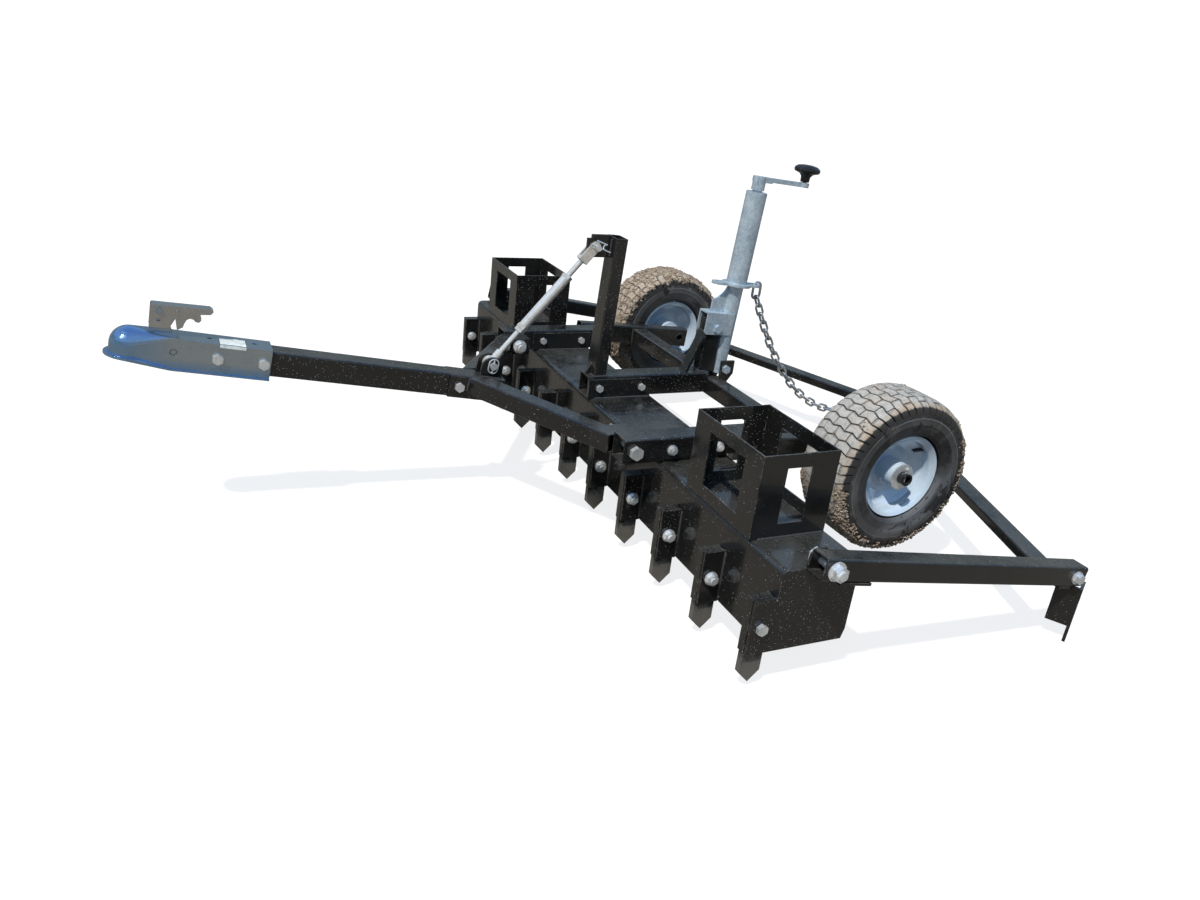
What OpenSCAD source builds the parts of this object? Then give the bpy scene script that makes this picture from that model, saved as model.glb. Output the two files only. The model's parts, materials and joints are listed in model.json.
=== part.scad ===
// Tow-behind soil pulverizer: a drawbar, a toothed box with two weight cages,
// two turf wheels, a levelling jack and a hinged rear drag frame.
// Origin: the centre of the hitch ball. +X left of the machine, +Y to the rear, +Z up.
// Lengths inside the modules are measured from the box's front top edge unless
// a module says otherwise; at_box() moves them into the row's frame.

/* [Soil box] */
// Width of the box over its end plates
box_w = 1606; // [1446:10:1806]
// Depth of the box from front to rear
box_d = 155; // [145:1:165]
// Height of the box's front plate
box_h = 150; // [140:1:170]
// Thickness of the folded sheet of the box
box_sheet = 5; // [4:0.5:6]
// Outside radius of the folded front edge
fold_r = 13; // [8:1:16]
// Thickness of end plates, brackets and lugs
plate = 6; // [5:0.5:7]

/* [Scarifiers] */
// Height of a shank's two-sided point
shank_point = 20; // [12:1:24]
// Distance between neighbouring shanks
shank_pitch = 158; // [150:1:165]
// Width of a shank across the machine
shank_w = 12; // [10:1:14]
// Depth of a shank from front to rear
shank_d = 40; // [36:1:41]
// Length of a shank from its top to its point
shank_len = 160; // [140:1:170]

/* [Frame tubes] */
// Outside size of the square rails
rail = 50; // [46:1:52]
// Outside size of the cross tube, drawbar arms and drag arms
small_tube = 40; // [36:1:42]
// Wall of every tube
tube_wall = 3; // [2:0.5:4]
// Distance from the centre to an outer rail's centre line
rail_x = 355; // [340:1:370]
// Downward pitch of the wheel arms in degrees
wheel_arm_pitch = 4.1; // [3:0.1:5]

/* [Wheels] */
// Outside diameter of a tyre
tyre_d = 330; // [310:2:340]
// Width of a tyre
tyre_w = 136; // [125:1:140]
// Distance from the centre to a wheel's middle
wheel_x = 494; // [485:1:510]
// Outside diameter of the hollow axle
axle_d = 25.4; // [22:0.2:28]

/* [Hitch] */
// Diameter of the hitch ball that the coupler takes
ball_d = 50.8; // [50:0.1:51]
// Nose-up pitch of the tongue in degrees
tongue_pitch = 9; // [7:0.5:11]

/* [Weight cages] */
// Width of a cage across the machine
cage_w = 215; // [200:1:230]
// Height of a cage
cage_h = 153; // [140:1:170]
// Sheet thickness of a cage
cage_sheet = 3; // [2:0.5:4]

/* [Jack] */
// Outside diameter of the jack's outer tube
jack_d = 48; // [46:1:50]
// Outside diameter of the jack's leg
leg_d = 38; // [36:1:39]
// Rearward lean of the jack in degrees
jack_lean = 3.9; // [3:0.1:5]
// Reach of the crank
crank_reach = 122; // [110:1:135]

/* [Drag frame] */
// Length of an arm behind its pivot
drag_arm = 612; // [590:1:630]
// Downward pitch of the arms in degrees
drag_pitch = 9.3; // [8:0.1:10]
// Sweep of the rear bars in degrees
vee_sweep = 20; // [18:0.5:22]

/* [Chain] */
// Wire diameter of the chain
chain_wire = 5.5; // [5:0.5:6]
// Inside length of a link
link_len = 24; // [23:0.5:26]
// Inside width of a link
link_gap = 9.6; // [9:0.2:11]
// Number of links
link_count = 23; // [22:1:24]

/* [Hidden] */
$fn = 48;
run_gap = 0.1;
bolt_gap = 0.25;
side_gap = 0.5;

// Where the box's front top edge lies behind and below the hitch ball
ball_reach = 917;
ball_rise = 140;

end_x = box_w / 2 - plate;
tine_y = -2;
tine_top = -50;
bracket_y = -41;
bracket_low = -152;
tine_bolt = [-22, -102];

drawbar_hinge = [-57, 24.5];
hinge_d = 16;
bracket_bolts = [[23, 24], [129, 24]];
clamp_d = 10;

axle_at = [457, 7];
axle_bore = 17;
hub_r = 27;
hub_half = 54;
pin_x = wheel_x + hub_half + 11;
rim_r = 89;

cage_x = 486;
cage_d = 153;
window_margin = 51;
window_low = 26;
window_high = 128;

mast_lean = 2.9;
mast_foot = 10.2;
mast_len = 309;
mast_w = 50;
mast_t = 30;

// Turnbuckle pins, and the line between them
upper_pin_at = [-12, 337];
lower_pin_at = [-228, 81];
link_drop = upper_pin_at - lower_pin_at;
link_span = norm(link_drop);
link_angle = 180 - atan2(link_drop[0], link_drop[1]);
barrel_from = 84;
barrel_to = 236;
rod_d = 12;

// Places along the tongue, from the ball's centre, in its own pitched frame
tongue_front = 128;
tongue_rear = 722;
tongue_mid = -1.6;
lug_at = [690, 49.5];
socket_r = ball_d / 2 + 0.7;
latch_pin = [43.5, 71.8];
shell_t = 3;
coupler_half = rail / 2 + shell_t + 1;
coupler_bolts = [149, 231];
cheek_bolt = 622;

arm_block_x = 305;
arm_end = [319.3, -76.1, 23];
arm_sweep = 32.3;
arm_rise = 2.9;

post_y = 289;
jack_foot = [346, 50];
foot_bolt = [353, 57];
bracket_bolt = [316, 155];
flange_at = 208;
ear_at = 50;
tube_top = 419;
leg_top = 380;
screw_d = 16;

drag_pivot = [69, 15];
pivot_d = 16;
drag_x = box_w / 2 + side_gap + small_tube / 2;
vee_apex = 886;
vee_z = -70;
vee_w = 40;
vee_h = 22;
hook_at = [820, -71];
hook_hole = 13.5;

black = [0.07, 0.07, 0.075];
zinc = [0.74, 0.77, 0.80];
blue_zinc = [0.62, 0.70, 0.82];
galvanised = [0.62, 0.66, 0.68];
rubber = [0.43, 0.38, 0.33];
knob_black = [0.03, 0.03, 0.03];

box_shell();
end_plate(1);  // end_plate_left
end_plate(-1);  // end_plate_right
scarifier_brackets();
scarifier(0);  // scarifier_01
scarifier(1);  // scarifier_02
scarifier(2);  // scarifier_03
scarifier(3);  // scarifier_04
scarifier(4);  // scarifier_05
scarifier(5);  // scarifier_06
scarifier(6);  // scarifier_07
scarifier(7);  // scarifier_08
scarifier(8);  // scarifier_09
scarifier(9);  // scarifier_10
scarifier(10);  // scarifier_11
scarifier_bolts();
outer_rail(1);  // rail_left
outer_rail(-1);  // rail_right
rail_centre();
cross_tube();
rail_brackets();
frame_bolts();
mast();
wheel_arm(1);  // wheel_arm_left
wheel_arm(-1);  // wheel_arm_right
axle(1);  // axle_left
axle(-1);  // axle_right
axle_keepers();
weight_cage(1);  // weight_cage_left
weight_cage(-1);  // weight_cage_right
jack_stand();
jack_leg();
upper_pin();
tyre(1);  // tyre_left
rim(1);  // rim_left
tyre(-1);  // tyre_right
rim(-1);  // rim_right
tongue();
drawbar_arm(1);  // drawbar_arm_left
drawbar_arm(-1);  // drawbar_arm_right
drawbar_plates();
drawbar_bolts();
coupler();
coupler_lever();
ball_clamp();
lower_clevis();
turnbuckle_barrel();
upper_clevis();
jack_tube();
jack_crank();
crank_knob();
drag_arm_tube(1);  // drag_arm_left
drag_arm_tube(-1);  // drag_arm_right
vee_bar(1);  // vee_bar_left
vee_bar(-1);  // vee_bar_right
drag_hangers();
drag_bolts();
chain();

// Placing helpers

// Moves a shape measured from the box's front top edge into the row's frame.
module at_box() {
    translate([0, ball_reach, -ball_rise]) children();
}

// The left of the machine is +X; the right is its mirror image.
module on_side(side) {
    if (side > 0) children();
    else mirror([1, 0, 0]) children();
}

// Extrudes a side view, drawn as (y, z), across the machine from x0 to x1.
module slab(x0, x1) {
    translate([x0, 0, 0]) rotate([90, 0, 90]) linear_extrude(x1 - x0) children();
}

// A pin, bore or washer along X at the side-view place p.
module bar_x(p, d, x0, x1) {
    translate([x0, p[0], p[1]]) rotate([0, 90, 0]) cylinder(h = x1 - x0, d = d);
}

// The tongue's own frame: the ball's centre, with y back along the tongue.
module along_tongue() {
    rotate([-tongue_pitch, 0, 0]) children();
}

// The turnbuckle's frame, inside at_box(): z runs from the upper pin to the lower pin.
module along_link() {
    translate([0, upper_pin_at[0], upper_pin_at[1]]) rotate([link_angle, 0, 0]) children();
}

// The jack's frame, inside at_box(): z runs up the jack from its foot.
module along_jack() {
    translate([0, jack_foot[0], jack_foot[1]]) rotate([-jack_lean, 0, 0]) children();
}

// The drag arm's frame, inside at_box(): y runs back from the pivot.
module along_drag_arm() {
    translate([0, drag_pivot[0], drag_pivot[1]]) rotate([-drag_pitch, 0, 0]) children();
}

// Shared shapes

module rounded_rect(w, h, r) {
    square([w - 2 * r, h], center = true);
    square([w, h - 2 * r], center = true);
    for (sx = [-1, 1], sy = [-1, 1])
        translate([sx * (w / 2 - r), sy * (h / 2 - r)]) circle(r);
}

module tube_section(w, h) {
    difference() {
        rounded_rect(w, h, tube_wall + 2);
        rounded_rect(w - 2 * tube_wall, h - 2 * tube_wall, 2);
    }
}

// A rectangular tube w wide and h high, running along +Y from the origin.
module tube_y(w, h, len) {
    translate([0, len, 0]) rotate([90, 0, 0]) linear_extrude(len) tube_section(w, h);
}

// Mitred step to one side of a line of points, for a strip t thick about that line.
function unit(v) = v / norm(v);
function mitre(points, i, t) =
    let (
        last = len(points) - 1,
        before = unit(points[max(i, 1)] - points[max(i, 1) - 1]),
        after = unit(points[min(i, last - 1) + 1] - points[min(i, last - 1)]),
        sum = [-before[1] - after[1], before[0] + after[0]]
    )
    sum * t / (sum * sum);

// A bent strip of sheet, t thick, through the points of a side view.
module bent_strip(points, t) {
    polygon(concat(
        [for (i = [0 : len(points) - 1]) points[i] + mitre(points, i, t)],
        [for (i = [len(points) - 1 : -1 : 0]) points[i] - mitre(points, i, t)]
    ));
}

// A hexagon bolt along +X: the head's face is at 0 and the nut's at grip.
module cross_bolt(d, grip) {
    rotate([0, 90, 0]) {
        translate([0, 0, -0.65 * d]) cylinder(h = 0.65 * d, d = 1.74 * d, $fn = 6);
        cylinder(h = grip + 1.15 * d, d = d);
        translate([0, 0, grip]) cylinder(h = 2, d = 2.15 * d);
        translate([0, 0, grip + 2]) cylinder(h = 0.75 * d, d = 1.74 * d, $fn = 6);
    }
}

// A ring of wire w thick: two half rounds joined by straight sides, long axis on z.
module wire_link(inner_len, inner_gap, w) {
    r = (inner_gap + w) / 2;
    straight = inner_len + w - 2 * r;
    for (end = [0, 180]) rotate([0, end, 0]) {
        translate([0, 0, straight / 2]) rotate([90, 0, 0])
            rotate_extrude(angle = 180) translate([r, 0]) circle(d = w);
        translate([r, 0, -straight / 2]) cylinder(h = straight, d = w);
    }
}

// Soil box

module box_shell() {
    color(black) at_box() slab(-end_x, end_x) {
        translate([fold_r, -box_sheet]) square([box_d - fold_r, box_sheet]);
        translate([0, -box_h]) square([box_sheet, box_h - fold_r]);
        intersection() {
            translate([0, -fold_r]) square(fold_r);
            translate([fold_r, -fold_r]) difference() {
                circle(fold_r);
                circle(fold_r - box_sheet);
            }
        }
    }
}

module end_plate_outline() {
    polygon([
        [0, -fold_r], [fold_r, 0], [box_d, 0], [box_d, 18 - box_h], [box_d - 5, -box_h - 1],
        [-11, -box_h - 1], [bracket_y, bracket_low], [bracket_y, tine_top], [0, tine_top]
    ]);
    translate([fold_r, -fold_r]) circle(fold_r);
    translate(drag_pivot) circle(20);
    translate([drag_pivot[0] - 20, -1]) square([40, drag_pivot[1] + 1]);
}

// The end plate, with the ear of the drag arm's pivot and the blade that the arm rests on.
module end_plate(side) {
    blade_y = 18;
    blade_len = 66;
    color(black) at_box() on_side(side) {
        difference() {
            slab(end_x, box_w / 2) end_plate_outline();
            bar_x(drag_pivot, pivot_d + 2 * bolt_gap, end_x - 1, box_w / 2 + 1);
            bar_x(tine_bolt, 12 + 2 * bolt_gap, end_x - 1, box_w / 2 + 1);
        }
        along_drag_arm() translate([box_w / 2 - 1, blade_y, -small_tube / 2 - side_gap - 5])
            cube([small_tube + 1, blade_len, 5]);
    }
}

function shank_x(i) = (5 - i) * shank_pitch;

module bracket_outline() {
    translate([bracket_y, bracket_low]) square([-bracket_y, tine_top - bracket_low]);
}

// Each shank sits between two cheeks; the end plates' tabs are the outermost cheeks.
module scarifier_brackets() {
    color(black) at_box() difference() {
        for (i = [0 : 10], s = [-1, 1]) {
            inner = shank_x(i) + s * shank_w / 2;
            if (abs(inner) < end_x - 2)
                slab(min(inner, inner + s * plate), max(inner, inner + s * plate)) bracket_outline();
        }
        for (i = [0 : 10])
            bar_x(tine_bolt, 12 + 2 * bolt_gap, shank_x(i) - 20, shank_x(i) + 20);
    }
}

module scarifier(i) {
    color(black) at_box() translate([shank_x(i), 0, 0]) difference() {
        slab(-shank_w / 2, shank_w / 2) polygon([
            [tine_y - shank_d, tine_top], [tine_y, tine_top],
            [tine_y, tine_top - shank_len + shank_point],
            [tine_y - shank_d / 2, tine_top - shank_len],
            [tine_y - shank_d, tine_top - shank_len + shank_point]
        ]);
        bar_x(tine_bolt, 12 + 2 * bolt_gap, -20, 20);
    }
}

module scarifier_bolts() {
    color(zinc) at_box() for (i = [0 : 10]) {
        grip = shank_w + 2 * plate;
        facing = i == 0 ? 180 : 0;
        slack = i == 0 || i == 10 ? 1.5 : 0.5;
        translate([shank_x(i), tine_bolt[0], tine_bolt[1]]) rotate([0, 0, facing])
            translate([-grip / 2 - slack, 0, 0]) cross_bolt(12, grip + slack + 0.5);
    }
}

// Frame

module rail_holes(x0, x1) {
    for (p = bracket_bolts) bar_x(p, clamp_d + 2 * bolt_gap, x0, x1);
}

module outer_rail(side) {
    color(black) at_box() on_side(side) difference() {
        translate([rail_x, -82, rail / 2]) tube_y(rail, rail, 297);
        rail_holes(rail_x - rail, rail_x + rail);
        bar_x(drawbar_hinge, hinge_d + 2 * bolt_gap, rail_x - rail, rail_x + rail);
    }
}

module rail_centre() {
    color(black) at_box() difference() {
        translate([0, -3, rail / 2]) tube_y(rail, rail, 311);
        rail_holes(-rail, rail);
    }
}

module cross_tube() {
    half = rail_x + rail / 2;
    color(black) at_box() translate([-half, 308 + small_tube / 2, 15]) rotate([0, 0, -90])
        tube_y(small_tube, small_tube, 2 * half);
}

// Upright plates welded to the box that the three rails are bolted to.
module rail_brackets() {
    color(black) at_box() difference() {
        for (x = [rail_x - rail / 2 - plate, -rail_x + rail / 2, rail / 2])
            translate([x, -4, 0]) cube([plate, box_d + 2, 44]);
        rail_holes(-rail_x - rail, rail_x + rail);
    }
}

module frame_bolts() {
    rail_grip = rail + plate;
    hinge_grip = 2 * rail + 1;
    color(zinc) at_box() {
        for (p = bracket_bolts) {
            translate([rail_x - rail / 2 - plate, p[0], p[1]]) cross_bolt(clamp_d, rail_grip);
            translate([-rail_x + rail / 2 + plate, p[0], p[1]]) rotate([0, 0, 180])
                cross_bolt(clamp_d, rail_grip);
            translate([rail / 2 + plate, p[0], p[1]]) rotate([0, 0, 180])
                cross_bolt(clamp_d, rail_grip);
        }
        for (side = [-1, 1]) on_side(side) {
            translate([rail_x + rail / 2, drawbar_hinge[0], drawbar_hinge[1]]) rotate([0, 0, 180])
                cross_bolt(hinge_d, hinge_grip);
            translate([end_x, drag_pivot[0], drag_pivot[1]])
                cross_bolt(pivot_d, plate + small_tube + 2 * side_gap);
        }
    }
}

// The mast leans back a little and carries the turnbuckle's tab at its top.
module mast() {
    color(black) at_box() {
        intersection() {
            translate([0, mast_foot, rail]) rotate([-mast_lean, 0, 0])
                translate([0, mast_t / 2, -3]) linear_extrude(mast_len + 3)
                    tube_section(mast_w, mast_t);
            translate([-100, -100, rail]) cube([200, 300, 400]);
        }
        slab(-3, 3) polygon([[-3, rail], [mast_foot, rail], [mast_foot + 1.3, rail + 27]]);
        difference() {
            slab(-4, 4) polygon([
                [-30, 314], [23.5, 314], [25.7, 357], [25.7, 362], [-20, 362], [-20, 354], [-30, 354]
            ]);
            bar_x(upper_pin_at, 12 + 2 * bolt_gap, -10, 10);
        }
    }
}

module upper_pin() {
    color(zinc) at_box() translate([0, upper_pin_at[0], upper_pin_at[1]]) {
        rotate([0, 90, 0]) translate([0, 0, -18]) cylinder(h = 44, d = 12);
        rotate([0, 90, 0]) translate([0, 0, -21]) cylinder(h = 4, d = 19);
        // hairpin clip through the pin's near end
        translate([22, 4, 0]) rotate([70, 0, 0]) {
            translate([0, 0, -26]) cylinder(h = 50, d = 3);
            translate([0, 12, -12]) cylinder(h = 26, d = 3);
            translate([0, 6, -12]) rotate([0, 90, 0]) rotate([0, 0, 90])
                rotate_extrude(angle = 180) translate([6, 0]) circle(d = 3);
        }
    }
}

// Wheels

module wheel_arm(side) {
    inner = rail_x + rail / 2;
    color(black) at_box() on_side(side) difference() {
        translate([inner + 15, axle_at[0], axle_at[1]]) rotate([-wheel_arm_pitch, 0, 0])
            translate([0, -308, 0]) tube_y(30, rail, 329);
        bar_x(axle_at, axle_d + 2 * bolt_gap, inner - 5, inner + 40);
    }
}

module axle(side) {
    start = rail_x + rail / 2;
    color(black) at_box() on_side(side) difference() {
        bar_x(axle_at, axle_d, start, wheel_x + hub_half + 19);
        bar_x(axle_at, axle_bore, start - 1, wheel_x + hub_half + 20);
        translate([pin_x, axle_at[0], axle_at[1]]) cylinder(h = 60, d = 4.5, center = true);
    }
}

// Spacers and washers each side of the hubs, and the pins that hold them.
module axle_keepers() {
    hub_in = wheel_x - hub_half - side_gap;
    hub_out = wheel_x + hub_half + side_gap;
    color(zinc) at_box() for (side = [-1, 1]) on_side(side) {
        difference() {
            union() {
                bar_x(axle_at, 36, rail_x + rail / 2 + 30, hub_in);
                bar_x(axle_at, 54, hub_out, hub_out + 3);
            }
            bar_x(axle_at, axle_d + 2 * bolt_gap, rail_x, hub_out + 10);
        }
        translate([pin_x, axle_at[0], axle_at[1]]) {
            cylinder(h = 42, d = 4, center = true);
            translate([0, 0, 21]) sphere(4.5);
        }
    }
}

// The tyre's section about its middle: a superellipse, square at the tread and full at the side.
section_mid = (tyre_d / 2 + rim_r) / 2 - 4;
section_half = (tyre_d - 2 * rim_r + 16) / 4;
function section_point(a, shrink) = [
    (section_half - shrink) * sign(cos(a)) * pow(abs(cos(a)), 0.55),
    (tyre_w / 2 - shrink) * sign(sin(a)) * pow(abs(sin(a)), 0.45)
];

module tyre(side) {
    wall = 9;
    bead_r = rim_r + 1;
    color(rubber) at_box() on_side(side) translate([wheel_x, axle_at[0], axle_at[1]])
        rotate([0, 90, 0]) rotate_extrude($fn = 96) difference() {
            intersection() {
                translate([section_mid, 0]) polygon([for (a = [0 : 6 : 354]) section_point(a, 0)]);
                translate([bead_r, -tyre_w]) square([tyre_d, 2 * tyre_w]);
            }
            translate([section_mid, 0]) polygon([for (a = [0 : 6 : 354]) section_point(a, wall)]);
            translate([bead_r - 10, 14 - tyre_w / 2]) square([18, tyre_w - 28]);
        }
}

// Two dished pressings, back to back on a tubular hub.
module rim(side) {
    half_shell = [[rim_r - 1, 56], [82, 52], [77, 47], [75, 30], [66, 22], [52, 12], [40, 8], [hub_r, 8]];
    color(blue_zinc) at_box() on_side(side) translate([wheel_x, axle_at[0], axle_at[1]]) {
        difference() {
            rotate([0, 90, 0]) union() {
                rotate_extrude($fn = 96) {
                    bent_strip(half_shell, 3);
                    bent_strip([for (p = half_shell) [p[0], -p[1]]], 3);
                    translate([hub_r - 2, -10]) square([26, 20]);
                }
                translate([0, 0, -hub_half]) cylinder(h = 2 * hub_half, r = hub_r);
            }
            bar_x([0, 0], axle_d + 2 * run_gap, -hub_half - 1, hub_half + 1);
        }
        // valve stem in the outer dish, and the hub's grease nipple
        rotate([-52, 0, 0]) translate([20, 0, 62]) rotate([0, 50, 0]) cylinder(h = 30, d = 8);
        rotate([118, 0, 0]) translate([28, 0, hub_r - 1]) cylinder(h = 9, d = 7);
    }
}

// Weight cages

// An open-topped tray of sheet, windowed on all four sides.
module weight_cage(side) {
    inside = cage_w - 2 * cage_sheet;
    color(black) at_box() on_side(side) difference() {
        translate([cage_x, 0, 0]) cube([cage_w, cage_d, cage_h]);
        translate([cage_x + cage_sheet, cage_sheet, cage_sheet])
            cube([inside, cage_d - 2 * cage_sheet, cage_h]);
        translate([cage_x + window_margin, -1, window_low])
            cube([cage_w - 2 * window_margin, cage_d + 2, window_high - window_low]);
        translate([cage_x - 1, window_margin, window_low])
            cube([cage_w + 2, cage_d - 2 * window_margin, window_high - window_low]);
    }
}

// Drawbar

module tongue() {
    color(black) along_tongue() difference() {
        translate([0, tongue_front, tongue_mid]) tube_y(rail, rail, tongue_rear - tongue_front);
        for (y = coupler_bolts) bar_x([y, tongue_mid], 12 + 2 * bolt_gap, -rail, rail);
        bar_x([cheek_bolt, tongue_mid], 12 + 2 * bolt_gap, -rail, rail);
    }
}

// A tube from the tongue's cheek to the rail, with a drilled block for the hinge bolt.
module drawbar_arm(side) {
    cheek = rail / 2 + plate;
    rail_face = rail_x - rail / 2 - side_gap;
    color(black) at_box() on_side(side) difference() {
        union() {
            translate([rail_face - 49, drawbar_hinge[0] - 19, 5]) cube([49, 46, 38]);
            intersection() {
                translate(arm_end) rotate([0, 0, 90 + arm_sweep]) rotate([arm_rise, 0, 0])
                    translate([0, -40, 0]) tube_y(small_tube, small_tube, 420);
                translate([cheek, -400, -100]) cube([rail_face - cheek, 500, 300]);
            }
        }
        bar_x(drawbar_hinge, hinge_d + 2 * run_gap, arm_block_x - 40, arm_block_x + 40);
    }
}

// Cheek plates that clamp the tongue, and the lugs that hold the turnbuckle's lower end.
module drawbar_plates() {
    color(black) along_tongue() difference() {
        union() {
            for (side = [-1, 1]) on_side(side) {
                translate([rail / 2, 600, tongue_mid - 24]) cube([plate, 96, 46]);
                slab(13, 19) {
                    translate([lug_at[0] - 24, tongue_mid + rail / 2]) square([48, 22]);
                    translate([lug_at[0], tongue_mid + rail / 2 + 20]) circle(24);
                }
            }
        }
        translate([-rail / 2, 600, tongue_mid - rail / 2]) cube([rail, 160, rail]);
        bar_x([cheek_bolt, tongue_mid], 12 + 2 * bolt_gap, -60, 60);
        bar_x(lug_at, 16 + 2 * bolt_gap, -60, 60);
    }
}

module drawbar_bolts() {
    color(zinc) along_tongue() {
        translate([rail / 2 + plate, cheek_bolt, tongue_mid]) rotate([0, 0, 180])
            cross_bolt(12, rail + 2 * plate);
        for (y = coupler_bolts) translate([coupler_half, y, tongue_mid]) rotate([0, 0, 180])
            cross_bolt(12, 2 * coupler_half);
        // lower pin of the turnbuckle, with the peg and ring that keep it
        bar_x(lug_at, 16, -24, 26);
        bar_x(lug_at, 24, -28, -24);
        translate([22.5, lug_at[0], lug_at[1]]) {
            rotate([0, 0, 90]) wire_link(28, 18, 3);
            cylinder(h = 31, d = 4, center = true);
        }
    }
}

// Coupler

// A pressed housing: a channel round the tongue, a tapering throat and the ball's dome.
module coupler() {
    half = coupler_half;
    top = 28;
    low = -33;
    color(zinc) along_tongue() {
        difference() {
            union() {
                translate([-half, 70, low]) cube([2 * half, 174, top - low]);
                hull() {
                    translate([-half, 66, low + 3]) cube([2 * half, 5, top - low - 3]);
                    translate([0, 0, -20]) cylinder(h = 20, r = 33, $fn = 32);
                    translate([0, 0, 1]) sphere(33, $fn = 32);
                }
                hull() {
                    translate([0, 0, -21]) cylinder(h = 4, r = 41, $fn = 32);
                    translate([-half - 4, 70, low]) cube([2 * half + 8, 1, 3.5]);
                }
                translate([-half - 4, 70, low]) cube([2 * half + 8, 174, 3]);
                translate([-15, 22, top - 1]) cube([30, 56, 4.5]);
            }
            translate([-rail / 2 - 0.2, 66, -60]) cube([rail + 0.4, 200, 60 + tongue_mid + rail / 2 + 0.2]);
            hull() {
                translate([-rail / 2 - 0.2, 66, -60]) cube([rail + 0.4, 1, 83]);
                translate([-19, 16, -60]) cube([38, 1, 68]);
            }
            sphere(socket_r);
            translate([0, 0, -60]) cylinder(h = 60, r = socket_r);
            for (y = coupler_bolts) bar_x([y, tongue_mid], 12 + 2 * bolt_gap, -60, 60);
            for (y = [133, 213]) translate([0, y, 0]) cylinder(h = 60, d = 9);
            translate([0, 44, 0]) cylinder(h = 60, d = 10);
            bar_x([72.6, 2], 11, half - 1.2, half + 5);
            bar_x([72.6, 2], 11, -half - 5, 1.2 - half);
        }
        // inner cheeks and the pin that the lever turns on
        for (side = [-1, 1]) on_side(side) slab(5.5, 8.5) polygon([
            [31, 31], [69, 31], [64, 44], [50, 72], [37, 72], [36.8, 52]
        ]);
        for (side = [-1, 1]) on_side(side) bar_x(latch_pin, 13, 5.5, 8.5);
        bar_x(latch_pin, 7, -16, 16);
        for (side = [-1, 1]) on_side(side) bar_x(latch_pin, 12, 13.5, 16.5);
    }
}

// The lever is a folded channel with a hooked cam behind its second rivet.
module coupler_lever() {
    color(zinc) along_tongue() difference() {
        union() {
            for (side = [-1, 1]) on_side(side) slab(10, 13) {
                polygon([
                    [28, 80.8], [28.7, 39.5], [62.7, 41.5], [71, 60], [75.6, 39.5], [85, 46],
                    [87, 54], [90, 61], [95, 64], [101, 63], [105, 59], [111, 58.5], [114.5, 63],
                    [114, 69], [111, 73.5], [129, 76], [132, 79.6], [128, 84.6]
                ]);
            }
            slab(-13, 13) bent_strip([[29.5, 80.7], [70, 82.3], [128, 84.8], [133, 81]], 2.6);
            bar_x([73.5, 72.5], 7, -16, 16);
        }
        bar_x(latch_pin, 7 + 2 * run_gap, -30, 30);
        bar_x([43.7, 54.7], 6, -30, 30);
    }
}

// The clamp under the dome, pulled up against the ball by its bolt.
module ball_clamp() {
    color(zinc) along_tongue() {
        difference() {
            translate([-11, 24, -24]) cube([22, 26, 16]);
            sphere(socket_r + 0.5);
        }
        translate([0, 44, -9]) cylinder(h = 70, d = 8);
    }
}

// Turnbuckle

module clevis_fork(eye_d, gap) {
    for (side = [-1, 1]) on_side(side) difference() {
        union() {
            translate([gap / 2, -11, 0]) cube([5, 22, 38]);
            translate([gap / 2, 0, 0]) rotate([0, 90, 0]) cylinder(h = 5, d = 22);
        }
        bar_x([0, 0], eye_d, 0, 30);
    }
    translate([-gap / 2 - 5, -11, 34]) cube([gap + 10, 22, 8]);
}

module upper_clevis() {
    color(zinc) at_box() along_link() {
        clevis_fork(12 + 2 * run_gap, 9);
        translate([0, 0, 41]) cylinder(h = 90, d = rod_d);
    }
}

module turnbuckle_barrel() {
    color(zinc) at_box() along_link() difference() {
        union() {
            translate([0, 0, barrel_from + 6]) cylinder(h = barrel_to - barrel_from - 12, d = 21);
            translate([0, 0, barrel_from]) cylinder(h = 8, d = 24, $fn = 6);
            translate([0, 0, barrel_to - 8]) cylinder(h = 8, d = 24, $fn = 6);
            translate([0, 0, barrel_to + 0.4]) cylinder(h = 8, d = 22, $fn = 6);
        }
        translate([0, 0, barrel_from - 1]) cylinder(h = 200, d = rod_d + 0.6);
    }
}

module lower_clevis() {
    eye_d = 20;
    color(zinc) at_box() along_link() {
        difference() {
            union() {
                translate([-10, 0, link_span]) rotate([0, 90, 0]) cylinder(h = 20, d = 30);
                translate([0, 0, 190]) cylinder(h = link_span - 190 - 12, d = rod_d);
                translate([0, 0, link_span - 34]) cylinder(h = 22, d = 18);
            }
            translate([-12, 0, link_span]) rotate([0, 90, 0]) cylinder(h = 24, d = eye_d);
        }
    }
}

// Jack

module jack_stand() {
    color(black) at_box() {
        difference() {
            translate([-15, post_y, rail]) cube([30, 37, 128]);
            bar_x(bracket_bolt, 12 + 2 * bolt_gap, -60, 60);
        }
        slab(-15, 15) polygon([[249, rail], [257, rail], [post_y, 130], [post_y, 146]]);
        difference() {
            for (side = [-1, 1]) on_side(side) slab(20, 26)
                polygon([[340, 35], [348, 35], [348, 8], [358, 20], [376, 46], [376, 77], [340, 77]]);
            bar_x(foot_bolt, 12 + 2 * bolt_gap, -60, 60);
        }
    }
}

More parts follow.
